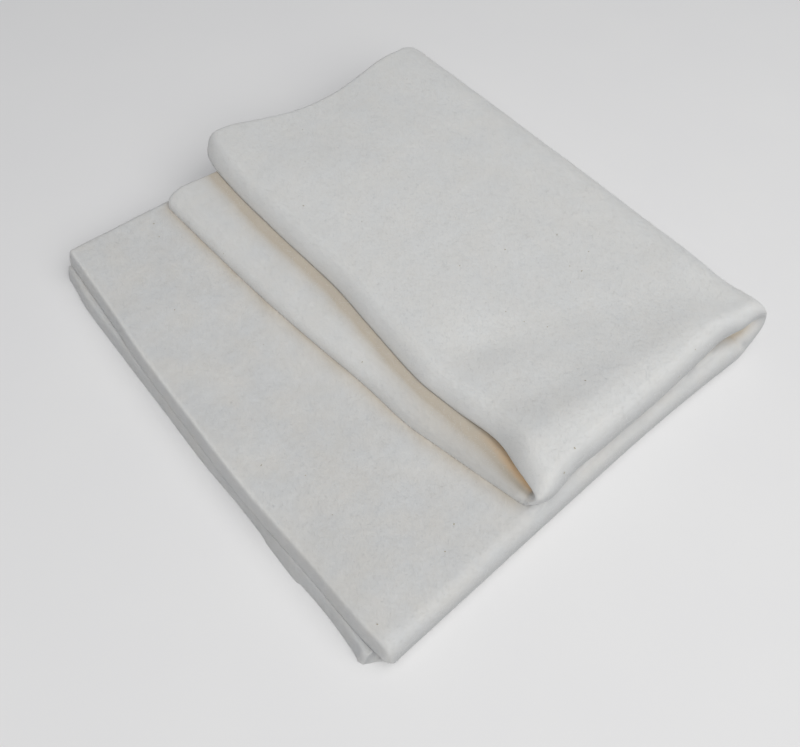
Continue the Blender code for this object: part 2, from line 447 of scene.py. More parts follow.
    def pinch(self, run: np.ndarray, x: np.ndarray, distance: np.ndarray) -> np.ndarray:
        """Work out the corner's pinch, which fades along the flap and away from the long fold.

        Args:
            run: Mark along the sheet.
            x: Place along the long fold.
            distance: Signed distance from the long fold's crest.

        Returns:
            Share of the whole pinch.
        """
        beyond = np.maximum(np.abs(distance) - self.layer_pitch / 2, 0.0)
        fade = bell(beyond, self.pinch_depth)
        along = np.maximum(self.pinch_x - x, 0.0)
        whole = bell(self.pinch_x - self.cross_fold_x, self.pinch_length)
        on_flap = bell(along, self.pinch_length) / whole
        in_turn = eased((run - 1.0) * self.pinch_rate)
        share = np.where(run < 2.0, in_turn, on_flap)
        return np.where(run <= 1.0, 0.0, fade * share)

    def flat_place(
        self, run: np.ndarray, across: np.ndarray, inside: np.ndarray, on_base: bool
    ) -> tuple[np.ndarray, ...]:
        """Middle of the sheet on the base or on the flap.

        Args:
            run: Mark along the sheet.
            across: Mark across the sheet.
            inside: 0 on the outer layer, 1 on the inner one.
            on_base: Whether this is the base.

        Returns:
            X, Y and Z of the middle, half the thickness, and the share of the corner's pinch.
        """
        sections = BASE_SECTIONS if on_base else FLAP_SECTIONS
        end = SoftCurve(*zip(*(BASE_END if on_base else FLAP_END)))
        x = np.full_like(run, self.cross_fold_x)
        for _ in range(self.end_rounds):
            y, distance = self.across_place(sections, x, across)
            end_x = end.at(distance)
            if on_base:
                x = between(end_x, self.cross_fold_x, run)
            else:
                x = between(self.cross_fold_x, end_x, run - 2.0)
        corners = self.base_corners if on_base else self.flap_corners
        radius = between(corners[0], corners[1], inside)
        length = self.cross_fold_x if on_base else self.flap_length
        along = np.clip(1.0 - (run if on_base else 3.0 - run) * length / radius, 0.0, 1.0)
        beside = np.clip(1.0 - (2.0 - np.abs(across)) * self.side_width / radius, 0.0, 1.0)
        x = x + radius * along * (1.0 - np.sqrt(1.0 - beside**2 / 2))
        y = y - radius * beside * (1.0 - np.sqrt(1.0 - along**2 / 2))
        layer = inside if on_base else 3.0 - inside
        pinch = self.pinch(run, x, distance)
        lift = pinch * between(-self.outer_drop, self.pocket_lift, inside * inside)
        settled = eased((y - self.settled_from) / self.settled_over)
        free = between(1.0, eased(np.abs(x - end_x) / self.settled_length), settled)
        loft = self.raised(True, layer, x, y) * free / 2
        half = (self.thickness / 2 + loft) * self.edge_share(run, across, inside)
        rim_drop = self.base_drop
        if not on_base:
            at_tip = (1.0 - eased((y - self.tip_from) / self.tip_over)) * (1.0 - inside)
            rim_drop = between(self.flap_drop, self.tucked_drop, inside)
            rim_drop = between(rim_drop, self.tip_drop, at_tip)
        fold_turn = np.clip(across, -1.0, 1.0) * math.pi / 2
        thinned = 1.0 - self.end_share(run, inside, on_base)
        drop = rim_drop * thinned * (self.thickness / 2 + loft) * np.sin(fold_turn) ** 2
        return x, y, self.layer_height(layer, x, y) + loft + lift - drop, half, pinch

    def turn_place(
        self, run: np.ndarray, across: np.ndarray, inside: np.ndarray, bend: np.ndarray
    ) -> tuple[np.ndarray, ...]:
        """Middle of the sheet round the cross fold.

        Args:
            run: Mark along the sheet.
            across: Mark across the sheet.
            inside: 0 on the outer layer, 1 on the inner one.
            bend: Angle round the fold, from straight down to straight up.

        Returns:
            X, Y and Z of the middle, half the thickness, and the share of the corner's pinch.
        """
        at_fold = np.full_like(run, self.cross_fold_x)
        y_low, distance = self.across_place(BASE_SECTIONS, at_fold, across)
        y_high, _ = self.across_place(FLAP_SECTIONS, at_fold, across)
        y = between(y_low, y_high, eased(run - 1.0))
        pinch = self.pinch(run, at_fold, distance)
        full_pinch = self.pinch(np.full_like(run, 2.0), at_fold, distance)
        low = self.layer_height(inside, at_fold, y)
        loft = self.raised(True, 3.0 - inside, at_fold, y) / 2
        high = self.layer_height(3.0 - inside, at_fold, y) + loft
        high = high + full_pinch * between(-self.outer_drop, self.pocket_lift, inside * inside)
        # The outer layer turns a pitch and a half out, the inner one half a pitch
        reach = between(1.5, 0.5, inside) * self.layer_pitch + self.cross_fold_bulge
        reach = reach + full_pinch * between(self.outer_reach, self.pocket_reach, inside)
        reach = reach + self.corner_reach * 4.0 * inside * (1.0 - inside)
        reach = reach * (1.0 + self.corner_lean * full_pinch * np.sin(bend))
        x = self.cross_fold_x + reach * np.cos(bend)
        z = (low + high) / 2 + (high - low) / 2 * np.sin(bend)
        full = self.thickness / 2 + loft * eased(run - 1.0)
        return x, y, z, full * self.edge_share(run, across, inside), pinch

    def end_share(self, run: np.ndarray, inside: np.ndarray, on_base: bool) -> np.ndarray:
        """Part of the full thickness left near a cut end.

        Args:
            run: Mark along the sheet.
            inside: 0 on the outer layer, 1 on the inner one.
            on_base: Whether this is the base's end.

        Returns:
            1 away from the end, falling to 0 on it.
        """
        if on_base:
            return self.base_end.share(run * self.cross_fold_x)
        from_end = (3.0 - run) * self.flap_length
        return between(self.flap_end.share(from_end), self.tucked_end.share(from_end), inside)

    def edge_share(self, run: np.ndarray, across: np.ndarray, inside: np.ndarray) -> np.ndarray:
        """Part of the full thickness left by the rounding of all the cut edges.

        Args:
            run: Mark along the sheet.
            across: Mark across the sheet.
            inside: 0 on the outer layer, 1 on the inner one.

        Returns:
            1 away from the edges, falling to 0 on them.
        """
        side = self.side_edge.share((2.0 - np.abs(across)) * self.side_width)
        ends = np.where(
            run < 1.5, self.end_share(run, inside, True), self.end_share(run, inside, False)
        )
        return side * ends

    def skins(self) -> tuple[np.ndarray, np.ndarray]:
        """Work out both skins of the sheet.

        Returns:
            Grids of points for the outer and the inner skin, rows along the sheet.
        """
        run, across = np.meshgrid(self.run_marks(), self.across_marks(), indexing="ij")
        turn = np.clip(across, -1.0, 1.0) * math.pi / 2
        inside = (1.0 + np.sin(turn)) / 2
        bend = np.clip(run - 1.5, -0.5, 0.5) * math.pi
        base = self.flat_place(run, across, inside, True)
        flap = self.flat_place(run, across, inside, False)
        fold = self.turn_place(run, across, inside, bend)
        parts = [
            np.where(run <= 1.0, low, np.where(run >= 2.0, high, turned))
            for low, high, turned in zip(base, flap, fold)
        ]
        middle = np.stack(parts[:3], axis=-1)
        outward = np.stack(
            (-np.sin(turn) * np.cos(bend), -np.cos(turn), -np.sin(turn) * np.sin(bend)), axis=-1
        )
        half = outward * (parts[3] * (1.0 - self.pinched_share * parts[4]))[..., None]
        return self.pressed(middle + half), self.pressed(middle - half)

    def pressed(self, points: np.ndarray) -> np.ndarray:
        """Apply the small pushes of the skin.

        Args:
            points: Grid of points.

        Returns:
            The points, moved near each press.
        """
        for row in PRESSES:
            start = np.array(row.start)
            line = np.array(row.finish) - start
            share = np.clip(((points - start) @ line) / (line @ line), 0.0, 1.0)
            off = np.linalg.norm(points - start - share[..., None] * line, axis=-1)
            points = points + bell(off, row.width)[..., None] * np.array(row.push)
        lumps = [noise.noise(Vector(point) / self.lump_size) for point in points.reshape(-1, 3)]
        lift = np.array(lumps).reshape(points.shape[:2]) * self.lump_height
        points[..., 2] += lift * np.clip(points[..., 2] / self.thickness - self.lump_floor, 0.0, 1.0)
        return points

    def build(self, name: str, origin: Vector) -> Object:
        """Make the closed sheet as one object.

        Args:
            name: Name of the object.
            origin: Origin of the sheet's own frame, in metres.

        Returns:
            The sheet, in the scene.
        """
        outer, inner = self.skins()
        rows, columns = outer.shape[:2]
        count = rows * columns
        shift = np.array(origin)
        points = np.concatenate((outer.reshape(-1, 3), inner.reshape(-1, 3))) * MM + shift
        number = np.arange(count).reshape(rows, columns)
        under = number + count
        for edge in (np.s_[0, :], np.s_[-1, :], np.s_[:, 0], np.s_[:, -1]):
            under[edge] = number[edge]
        faces = []
        for grid in (number, under):
            corners = (grid[:-1, :-1], grid[1:, :-1], grid[1:, 1:], grid[:-1, 1:])
            faces.append(np.stack(corners, axis=-1).reshape(-1, 4))
        data = bpy.data.meshes.new(name)
        data.from_pydata(points.tolist(), [], np.concatenate(faces).tolist())
        shape = bmesh.new()
        shape.from_mesh(data)
        loose = [vertex for vertex in shape.verts if not vertex.link_faces]
        bmesh.ops.delete(shape, geom=loose, context="VERTS")
        bmesh.ops.recalc_face_normals(shape, faces=shape.faces[:])
        for face in shape.faces:
            face.smooth = True
        shape.to_mesh(data)
        shape.free()
        return put(name, data)


@dataclass(frozen=True)
class Shelter:
    """Works out how far each point of the sheet lies hidden in its folds, and from that and its place the
    masks of the painted light and shade in the wool's colour and of the nap.
    """

    # Rays cast from each point
    reach: float = 22.0
    rays: int = 20
    cap: float = 0.94
    lift: float = 0.25
    # Painted warm shade in the folds, by the heights of the two gaps that show
    spread_rounds: int = 9
    lower_gap: float = 12.0
    upper_gap: float = 21.0
    low_share: float = 0.42
    depth_power: float = 1.5
    fold_reach: float = 8.0
    pocket_from: float = 212.0
    # Painted glow near the flap's tip, painted shade at the mouth of the fold beside it, and painted light
    # in the hollow under the tip
    tip_from: float = 17.0
    tip_over: float = 29.0
    pocket_loss: float = 0.6
    mouth_from: float = 45.0
    mouth_over: float = 60.0
    mouth_share: float = 0.1
    mouth_top: float = 27.5
    hollow_reach: float = 15.0
    hollow_end: float = 90.0
    # Painted shade on skin that faces toward -Y, in the long fold's crease, and on the low cut ends facing
    # -X
    crease_share: float = 0.8
    rim_share: float = 0.18
    side_from: float = 0.35
    # Painted light above the base: paler cut ends facing -X, paler still where they touch the layer below,
    # and lighter upper layers by height
    base_top_height: float = 17.4
    contact_share: float = 1.5
    high_loss: float = 0.4
    mouth_loss: float = 0.7
    upper_from: float = 24.0
    upper_over: float = 9.0
    # Nap, which is pressed flat in the folds and on the floor
    nap_floor: float = 1.2
    nap_loss: float = 2.2
    facing_down: float = -0.2

    def directions(self) -> list[Vector]:
        """Spread directions evenly over the cap above a point.

        Returns:
            One direction for each ray, densest near the cap's middle.
        """
        golden = math.pi * (3.0 - math.sqrt(5.0))
        found = []
        for i in range(self.rays):
            height = math.sqrt(1.0 - (i + 0.5) / self.rays * self.cap)
            ring = math.sqrt(1.0 - height * height)
            found.append(Vector((ring * math.cos(i * golden), ring * math.sin(i * golden), height)))
        return found

    def hidden(self, tree: BVHTree, point: Vector, normal: Vector, rays: list[Vector]) -> float:
        """Work out how much of the room a point can't see.

        Args:
            tree: The sheet's faces.
            point: The point, in metres.
            normal: Its normal.
            rays: Directions round the Z axis.

        Returns:
            0 in the open, rising to 1 in the depth of a fold.
        """
        turn = normal.to_track_quat("Z", "Y").to_matrix()
        start = point + normal * self.lift * MM
        reach = self.reach * MM
        found = 0.0
        for ray in rays:
            distance = tree.ray_cast(start, turn @ ray, reach)[3]
            if distance is not None:
                found += 1.0 - distance / reach
        return found / len(rays)

    def marks_at(self, place: Vector, normal: Vector, hidden: float) -> dict[Mark, float]:
        """Work out all that is kept for one point.

        Args:
            place: The point, in millimetres of the sheet's own frame.
            normal: Its normal.
            hidden: How much of the room it can't see.

        Returns:
            The value of each mark, from 0 to 1.
        """
        inland = ramp(place.y, self.fold_reach, self.fold_reach)
        pocket = ramp(place.x, self.pocket_from, self.fold_reach)
        near_tip = 1.0 - ramp(place.y, self.tip_from, self.tip_over)
        mouth = 1.0 - ramp(place.y, self.mouth_from, self.mouth_over)
        high = ramp(place.z, self.upper_from, self.upper_over)
        # Painted warm shade in the folds, weaker on the base, with more at the fold's mouth
        low_share = self.low_share * inland if pocket == 0.0 else pocket * (1.0 - inland)
        warmed = 1.0 if place.z > self.upper_gap else low_share
        in_gap = self.upper_gap < place.z < self.mouth_top
        in_mouth = self.mouth_share * mouth if in_gap else 0.0
        depth = (hidden * warmed + in_mouth) * max(normal.z, 0.0) ** self.depth_power
        # Painted light: cut ends facing -X, and their contact with the layer below, are painted paler, and
        # so is the whole hollow under the tip
        facing = max(-normal.x, 0.0)
        rim = facing * (1.0 - self.high_loss * high) * (1.0 - self.mouth_loss * mouth * (1.0 - high))
        contact = 0.0 if high > 0.0 or normal.x > 0.0 else self.contact_share * hidden
        at_tip = place.y < self.hollow_reach and place.x < self.hollow_end
        paled = 1.0 if at_tip and in_gap and normal.z > 0.0 else min(rim + contact, 1.0)
        # Painted shade: the long fold's crease, faces turned toward -Y, and the low cut ends facing -X
        crease = hidden * (1.0 - inland) * (1.0 - warmed) * self.crease_share
        side = max(-normal.y - self.side_from, 0.0) / (1.0 - self.side_from)
        low_rim = facing * self.rim_share if place.z < self.base_top_height else 0.0
        faces_down = normal.z < self.facing_down and place.z < self.nap_floor
        return {
            Mark.SHELTER: depth if place.z > self.lower_gap else 0.0,
            Mark.FLANK: min(side**2 + crease + low_rim, 1.0),
            Mark.UPPER: high,
            Mark.PAINTED_END_LIGHT: paled if place.z > self.base_top_height else 0.0,
            Mark.TIP: near_tip * (1.0 - self.pocket_loss * pocket),
            Mark.NAP: 0.0 if faces_down else max(1.0 - self.nap_loss * hidden, 0.0) ** 2,
        }

    def mark(self, sheet: Object, origin: Vector) -> None:
        """Store every mark of each point on the sheet's mesh.

        Args:
            sheet: The sheet.
            origin: Origin of the sheet's own frame, in metres.
        """
        data = sheet.data
        shape = bmesh.new()
        shape.from_mesh(data)
        tree = BVHTree.FromBMesh(shape)
        rays = self.directions()
        kept = {mark: [] for mark in Mark}
        for vertex in shape.verts:
            hidden = self.hidden(tree, vertex.co, vertex.normal, rays)
            found = self.marks_at((vertex.co - origin) / MM, vertex.normal, hidden)
            for mark, value in found.items():
                kept[mark].append(value)
        shape.free()
        kept[Mark.SHELTER] = self.softened(data, kept[Mark.SHELTER])
        for mark, values in kept.items():
            layer = data.attributes.new(mark.value, "FLOAT", "POINT")
            layer.data.foreach_set("value", values)

    def softened(self, data: Mesh, values: list[float]) -> np.ndarray:
        """Spread values softly to the neighbouring points.

        Args:
            data: Mesh whose edges join the points.
            values: One value for each point.

        Returns:
            The softened values.
        """
        ends = np.array([edge.vertices[:] for edge in data.edges])
        joined = np.bincount(ends.ravel(), minlength=len(values))
        soft = np.array(values)
        for _ in range(self.spread_rounds):
            around = np.bincount(ends[:, 0], weights=soft[ends[:, 1]], minlength=len(soft))
            around += np.bincount(ends[:, 1], weights=soft[ends[:, 0]], minlength=len(soft))
            soft = (soft + around / joined) / 2
        return soft


def linear(colour: str) -> tuple[float, float, float, float]:
    """Turn an sRGB hex colour into linear values.

    Args:
        colour: Such as "#DAD7CF".

    Returns:
        Linear red, green and blue, and an alpha of one.
    """
    parts = [int(colour[i : i + 2], 16) / 255 for i in (1, 3, 5)]
    values = [part / 12.92 if part <= 0.04045 else ((part + 0.055) / 1.055) ** 2.4 for part in parts]
    return (values[0], values[1], values[2], 1.0)


def add_node(
    tree: NodeTree,
    kind: str,
    settings: dict[str, Any] | None = None,
    sockets: dict[str | int, Any] | None = None,
) -> Node:
    """Add one node with its settings and links.

    Args:
        tree: Tree that takes the node.
        kind: Blender's name for the kind of node.
        settings: Values of the node's own settings.
        sockets: Value of each input, or the output that feeds it, by name or number.

    Returns:
        The new node.
    """
    node = tree.nodes.new(kind)
    for name, value in (settings or {}).items():
        setattr(node, name, value)
    for key, value in (sockets or {}).items():
        if isinstance(value, NodeSocket):
            tree.links.new(value, node.inputs[key])
        else:
            node.inputs[key].default_value = value
    return node


def put(name: str, data: Any) -> Object:
    """Put a mesh, lens or light in the scene.

    Args:
        name: Name of its object.
        data: The mesh, lens or light.

    Returns:
        The new object.
    """
    item = bpy.data.objects.new(name, data)
    bpy.context.scene.collection.objects.link(item)
    return item


class Finish(ABC):
    """One finish, whose material is made from the shader's values that it works out."""

    name: str

    @abstractmethod
    def shader(self, tree: NodeTree) -> dict[str, Any]:
        """Work out the value of each of the shader's sockets, or the output that feeds it."""

    def build(self) -> Material:
        """Make the material.

        Returns:
            The material.
        """
        material = bpy.data.materials.new(self.name)
        material.use_nodes = True
        tree = material.node_tree
        tree.nodes.clear()
        surface = add_node(tree, "ShaderNodeBsdfPrincipled", None, self.shader(tree))
        add_node(tree, "ShaderNodeOutputMaterial", None, {"Surface": surface.outputs["BSDF"]})
        return material


def scale_for(size_mm: float) -> float:
    """Noise scale whose blotches measure about this many millimetres."""
    return 1.0 / (size_mm * MM)


class Pattern(NamedTuple):
    """One cloudy pattern in the wool, by the rough size of its blotches."""

    name: str
    size_mm: float
    detail: float
    distortion: float


class Span(NamedTuple):
    """How a value is spread out: nothing at the low end, the most at the high one."""

    low: float
    high: float
    most: float = 1.0
    run: Spread = Spread.EVEN


# Fibre is drawn coarser than its real 0.03 mm, because it wouldn't show in the render
PATTERNS = (
    Pattern("cloud", size_mm=26.0, detail=2.0, distortion=0.0),
    Pattern("mottle", size_mm=4.5, detail=3.0, distortion=0.0),
    Pattern("tuft", size_mm=1.6, detail=3.0, distortion=1.5),
    Pattern("fibre", size_mm=0.5, detail=2.0, distortion=2.5),
    Pattern("hue", size_mm=15.0, detail=4.0, distortion=0.0),
)


@dataclass(frozen=True)
class WoolWadding(Finish):
    """Sheep's wool, carded and needled into a dense dull wadding.

    Scattered light between the fibres gives it a soft, slightly cream white with no gloss, and a faint
    cloudiness where the fibres lie thicker. Painted into its colour are warm shade and a warm glow in the
    folds, shade on faces turned sideways, and light on the cut ends and the upper layers.
    """

    name: str = "needled_wool_wadding"
    thin: str = "#C8C8C7"
    thick: str = "#D1D1D0"
    packed: Span = Span(low=1.0, high=1.6)
    fine_share: float = 0.3
    warm: str = "#D2CFC8"
    cool: str = "#C8CCCF"
    hue: Span = Span(low=0.35, high=0.65)
    hue_share: float = 0.27
    # Painted light and shade over the wool's own tones: lighter upper layers, paler cut ends, darker
    # sideways faces, warm darker folds and a warm glow in the tip's hollow
    painted_top_light: str = "#DBDCDB"
    painted_top_light_share: float = 0.46
    painted_end_light: str = "#E6E6E4"
    painted_side_shade: str = "#A9AAAB"
    caught_light: str = "#AE9F87"
    caught: Span = Span(low=0.01, high=0.22, most=0.66)
    deep_light: str = "#EBCAA0"
    deep: Span = Span(low=0.22, high=0.52, run=Spread.EASED)
    loft_bump: float = 0.5
    loft_rise_mm: float = 0.5
    fuzz_bump: float = 0.35
    fuzz_rise_mm: float = 0.16
    roughness: float = 0.95
    specular: float = 0.15
    sheen: float = 0.15
    sheen_roughness: float = 0.6
    scatter: float = 0.35
    scatter_depth_mm: float = 2.4
    scatter_colour: tuple[float, float, float] = (1.0, 0.94, 0.88)

    def patterns(self, tree: NodeTree) -> dict[str, NodeSocket]:
        """Add the cloudy patterns.

        Args:
            tree: The material's tree.

        Returns:
            The value of each pattern, by name, and of the fine ones together.
        """
        place = add_node(tree, "ShaderNodeTexCoord").outputs["Object"]
        found = {}
        for row in PATTERNS:
            sockets = {
                "Vector": place,
                "Scale": scale_for(row.size_mm),
                "Detail": row.detail,
                "Distortion": row.distortion,
            }
            found[row.name] = add_node(tree, "ShaderNodeTexNoise", None, sockets).outputs["Fac"]
        both = {0: found["tuft"], 1: found["fibre"]}
        found["fine"] = add_node(tree, "ShaderNodeMath", {"operation": "ADD"}, both).outputs[0]
        return found

    def shares(
        self, tree: NodeTree, pattern: dict[str, NodeSocket]
    ) -> dict[str, NodeSocket]:
        """Work out how much of each colour shows.

        Args:
            tree: The material's tree.
            pattern: The value of each pattern.

        Returns:
            The share of each colour, by name.
        """
        found = {}
        for mark in (Mark.SHELTER, Mark.FLANK, Mark.UPPER, Mark.PAINTED_END_LIGHT, Mark.TIP):
            kept = add_node(tree, "ShaderNodeAttribute", {"attribute_name": mark.value})
            found[mark.value] = kept.outputs["Fac"]
        both = {0: pattern["cloud"], 1: pattern["mottle"]}
        broad = add_node(tree, "ShaderNodeMath", {"operation": "ADD"}, both).outputs[0]
        sockets = {0: pattern["fine"], 1: self.fine_share, 2: broad}
        density = add_node(tree, "ShaderNodeMath", {"operation": "MULTIPLY_ADD"}, sockets).outputs[0]
        for name, value, span in (
            ("packed", density, self.packed),
            ("hue", pattern["hue"], self.hue),
            ("caught", found["shelter"], self.caught),
            ("deep", found["shelter"], self.deep),
        ):
            settings = {"interpolation_type": span.run.value}
            sockets = {"Value": value, "From Min": span.low, "From Max": span.high, "To Max": span.most}
            found[name] = add_node(tree, "ShaderNodeMapRange", settings, sockets).outputs["Result"]
        for name, value, share in (
            ("painted_top_light", found["upper"], self.painted_top_light_share),
            ("glow", found["deep"], found["tip"]),
        ):
            sockets = {0: value, 1: share}
            found[name] = add_node(tree, "ShaderNodeMath", {"operation": "MULTIPLY"}, sockets).outputs[0]
        return found

    def colour(
        self, tree: NodeTree, pattern: dict[str, NodeSocket]
    ) -> NodeSocket:
        """Lay the wool's colours over each other: its plain grey and hue, then painted light on the upper
        layers and cut ends, painted shade on sideways faces and in the folds, and last the painted glow in
        a fold.

        Args:
            tree: The material's tree.
            pattern: The value of each pattern.

        Returns:
            The colour.
        """
        shares = self.shares(tree, pattern)
        settings = {"data_type": "RGBA"}
        sockets = {"Factor": shares["hue"], "A": linear(self.warm), "B": linear(self.cool)}
        hue = add_node(tree, "ShaderNodeMix", settings, sockets).outputs["Result"]
        colour = linear(self.thin)
        # The wool's own tones come first, then painted light on the upper layers and the cut ends, painted
        # shade on sideways faces and in the folds, and the painted glow at the tip
        for share, over in (
            (shares["packed"], linear(self.thick)),
            (self.hue_share, hue),
            (shares["painted_top_light"], linear(self.painted_top_light)),
            (shares["painted_end_light"], linear(self.painted_end_light)),
            (shares["flank"], linear(self.painted_side_shade)),
            (shares["caught"], linear(self.caught_light)),
            (shares["glow"], linear(self.deep_light)),
        ):
            sockets = {"Factor": share, "A": colour, "B": over}
            colour = add_node(tree, "ShaderNodeMix", settings, sockets).outputs["Result"]
        return colour

    def shader(self, tree: NodeTree) -> dict[str, Any]:
        """Work out the shader's values, with the loft and the fuzz as two rounds of bump.

        Args:
            tree: The material's tree.

        Returns:
            The value of each socket, or the output that feeds it, by name.
        """
        pattern = self.patterns(tree)
        normal = None
        for height, strength, rise_mm in (
            (pattern["mottle"], self.loft_bump, self.loft_rise_mm),
            (pattern["fine"], self.fuzz_bump, self.fuzz_rise_mm),
        ):
            sockets = {"Height": height, "Strength": strength, "Distance": rise_mm * MM}
            if normal is not None:
                sockets["Normal"] = normal
            normal = add_node(tree, "ShaderNodeBump", None, sockets).outputs["Normal"]
        return {
            "Base Color": self.colour(tree, pattern),
            "Roughness": self.roughness,
            "Normal": normal,
            "Subsurface Weight": self.scatter,
            "Subsurface Radius": self.scatter_colour,
            "Subsurface Scale": self.scatter_depth_mm * MM,
            "Sheen Weight": self.sheen,
            "Sheen Roughness": self.sheen_roughness,
            "Specular IOR Level": self.specular,
        }


@dataclass(frozen=True)
class FineGrain(Finish):
    """Matte finish of one tone, for things too thin or small to show a pattern."""

    name: str
    colour: str
    roughness: float
    specular: float

    def shader(self, tree: NodeTree) -> dict[str, Any]:
        """Give the shader's plain values, which need no nodes of their own."""
        return {
            "Base Color": linear(self.colour),
            "Roughness": self.roughness,
            "Specular IOR Level": self.specular,
        }


@dataclass(frozen=True)
class LooseFibre(FineGrain):
    """Single wool fibre standing off the wadding: pale and dull."""

    name: str = "carded_wool_fibre"
    colour: str = "#CFD0CF"
    roughness: float = 0.9
    specular: float = 0.1


@dataclass(frozen=True)
class PlantSpeck(FineGrain):
    """Crumb of dry grass seed left in the fleece after carding: straw grey and matte."""

    name: str = "dry_grass_crumb"
    colour: str = "#A39A83"
    roughness: float = 0.8
    specular: float = 0.5


class Growth(NamedTuple):
    """One kind of thing strewn over the sheet, with its sizes in millimetres."""

    name: str
    per_square_mm: float
    seed: int
    length: float
    lean: float
    largest: float
    smallest: float = 0.5
    rise: float = 0.26
    width: float = 0.05
    pieces: int = 2


GROWTHS = (
    Growth("nap_long", 0.38, seed=11, length=1.5, lean=24.0, largest=1.3, smallest=0.6),
    Growth("nap_short", 0.38, seed=23, length=0.8, lean=34.0, largest=1.2, smallest=0.6),
    Growth("loose_hairs", 0.014, seed=37, length=5.0, lean=7.0, largest=1.4, rise=0.35, pieces=10),
    Growth(
        "plant_specks", 0.0005, seed=53, length=0.7, lean=10.0, largest=1.3, rise=0.1, width=0.4, pieces=1
    ),
)


@dataclass
class StrewnNodes:
    """Node tree that strews short bent ribbons over a mesh and makes them real."""

    material: Material
    # How far a ribbon bows sideways, as a share of its length, and its handle's share of the rise
    bow: float = 0.22
    peak: float = 2.0

    def build(self) -> tuple[NodeTree, dict[str, str]]:
        """Make the tree.

        Returns:
            The tree, and the identifier of each of its named inputs.
        """
        tree = bpy.data.node_groups.new("strewn_ribbons", "GeometryNodeTree")
        face = tree.interface
        face.new_socket("Geometry", in_out="OUTPUT", socket_type="NodeSocketGeometry")
        face.new_socket("Geometry", in_out="INPUT", socket_type="NodeSocketGeometry")
        found = {}
        for kind, names in (
            ("NodeSocketFloat", ("Density", "Length", "Rise", "Width", "Lean", "Smallest", "Largest")),
            ("NodeSocketInt", ("Pieces", "Seed")),
        ):
            for name in names:
                found[name] = face.new_socket(name, in_out="INPUT", socket_type=kind).identifier
        given = tree.nodes.new("NodeGroupInput").outputs
        ribbon = self.ribbon(tree, given)
        settings = {"data_type": "FLOAT"}
        sockets = {"Name": Mark.NAP.value}
        allowed = add_node(tree, "GeometryNodeInputNamedAttribute", settings, sockets)
        sockets = {0: allowed.outputs["Attribute"], 1: given["Density"]}
        density = add_node(tree, "ShaderNodeMath", {"operation": "MULTIPLY"}, sockets)
        points = add_node(
            tree,
            "GeometryNodeDistributePointsOnFaces",
            {"distribute_method": "RANDOM"},
            {"Mesh": given["Geometry"], "Density": density.outputs[0], "Seed": given["Seed"]},
        )
        drawn = self.draws(tree, given)
        sockets = {
            "Points": points.outputs["Points"],
            "Instance": ribbon,
            "Rotation": self.turned(tree, drawn, points.outputs["Rotation"]),
            "Scale": drawn["size"],
        }
        placed = add_node(tree, "GeometryNodeInstanceOnPoints", None, sockets)
        sockets = {"Geometry": placed.outputs["Instances"]}
        real = add_node(tree, "GeometryNodeRealizeInstances", None, sockets)
        sockets = {"Geometry": real.outputs["Geometry"], "Material": self.material}
        dressed = add_node(tree, "GeometryNodeSetMaterial", None, sockets)
        add_node(tree, "NodeGroupOutput", None, {"Geometry": dressed.outputs["Geometry"]})
        return tree, found

    def draws(self, tree: NodeTree, given: Any) -> dict[str, NodeSocket]:
        """Draw each ribbon's random values, every draw with a seed of its own.

        Args:
            tree: The node tree.
            given: The tree's inputs.

        Returns:
            The values, by name.
        """
        lean = add_node(tree, "ShaderNodeMath", {"operation": "RADIANS"}, {0: given["Lean"]}).outputs[0]
        back = add_node(tree, "ShaderNodeMath", {"operation": "MULTIPLY"}, {0: lean, 1: -1.0}).outputs[0]
        found = {}
        for name, lowest, highest in (
            ("size", given["Smallest"], given["Largest"]),
            ("spin", 0.0, math.tau),
            ("nod", back, lean),
            ("roll", back, lean),
        ):
            sockets = {0: given["Seed"], 1: float(len(found) + 1)}
            seed = add_node(tree, "ShaderNodeMath", {"operation": "ADD"}, sockets).outputs[0]
            sockets = {2: lowest, 3: highest, "Seed": seed}
            drawn = add_node(tree, "FunctionNodeRandomValue", {"data_type": "FLOAT"}, sockets)
            found[name] = drawn.outputs[1]
        return found

    def ribbon(self, tree: NodeTree, given: Any) -> NodeSocket:
        """Make one bent ribbon, which leaves the surface, rises and comes down again.

        Args:
            tree: The node tree.
            given: The tree's inputs.

        Returns:
            The ribbon's mesh.
        """
        size = {}
        for name, source, share in (
            ("start", "Length", -0.5),
            ("finish", "Length", 0.5),
            ("bow", "Length", self.bow),
            ("peak", "Rise", self.peak),
            ("left", "Width", -0.5),
            ("right", "Width", 0.5),
        ):
            sockets = {0: given[source], 1: share}
            size[name] = add_node(tree, "ShaderNodeMath", {"operation": "MULTIPLY"}, sockets).outputs[0]
        place = {}
        for name, sockets in (
            ("Start", {"X": size["start"]}),
            ("Middle", {"Y": size["bow"], "Z": size["peak"]}),
            ("End", {"X": size["finish"], "Z": given["Rise"]}),
            ("left", {"X": size["left"]}),
            ("right", {"X": size["right"]}),
        ):
            place[name] = add_node(tree, "ShaderNodeCombineXYZ", None, sockets).outputs[0]
        sockets = {name: place[name] for name in ("Start", "Middle", "End")}
        sockets["Resolution"] = given["Pieces"]
        line = add_node(tree, "GeometryNodeCurveQuadraticBezier", None, sockets)
        sockets = {"Start": place["left"], "End": place["right"]}
        profile = add_node(tree, "GeometryNodeCurvePrimitiveLine", None, sockets)
        sockets = {"Curve": line.outputs["Curve"], "Profile Curve": profile.outputs["Curve"]}
        return add_node(tree, "GeometryNodeCurveToMesh", None, sockets).outputs["Mesh"]

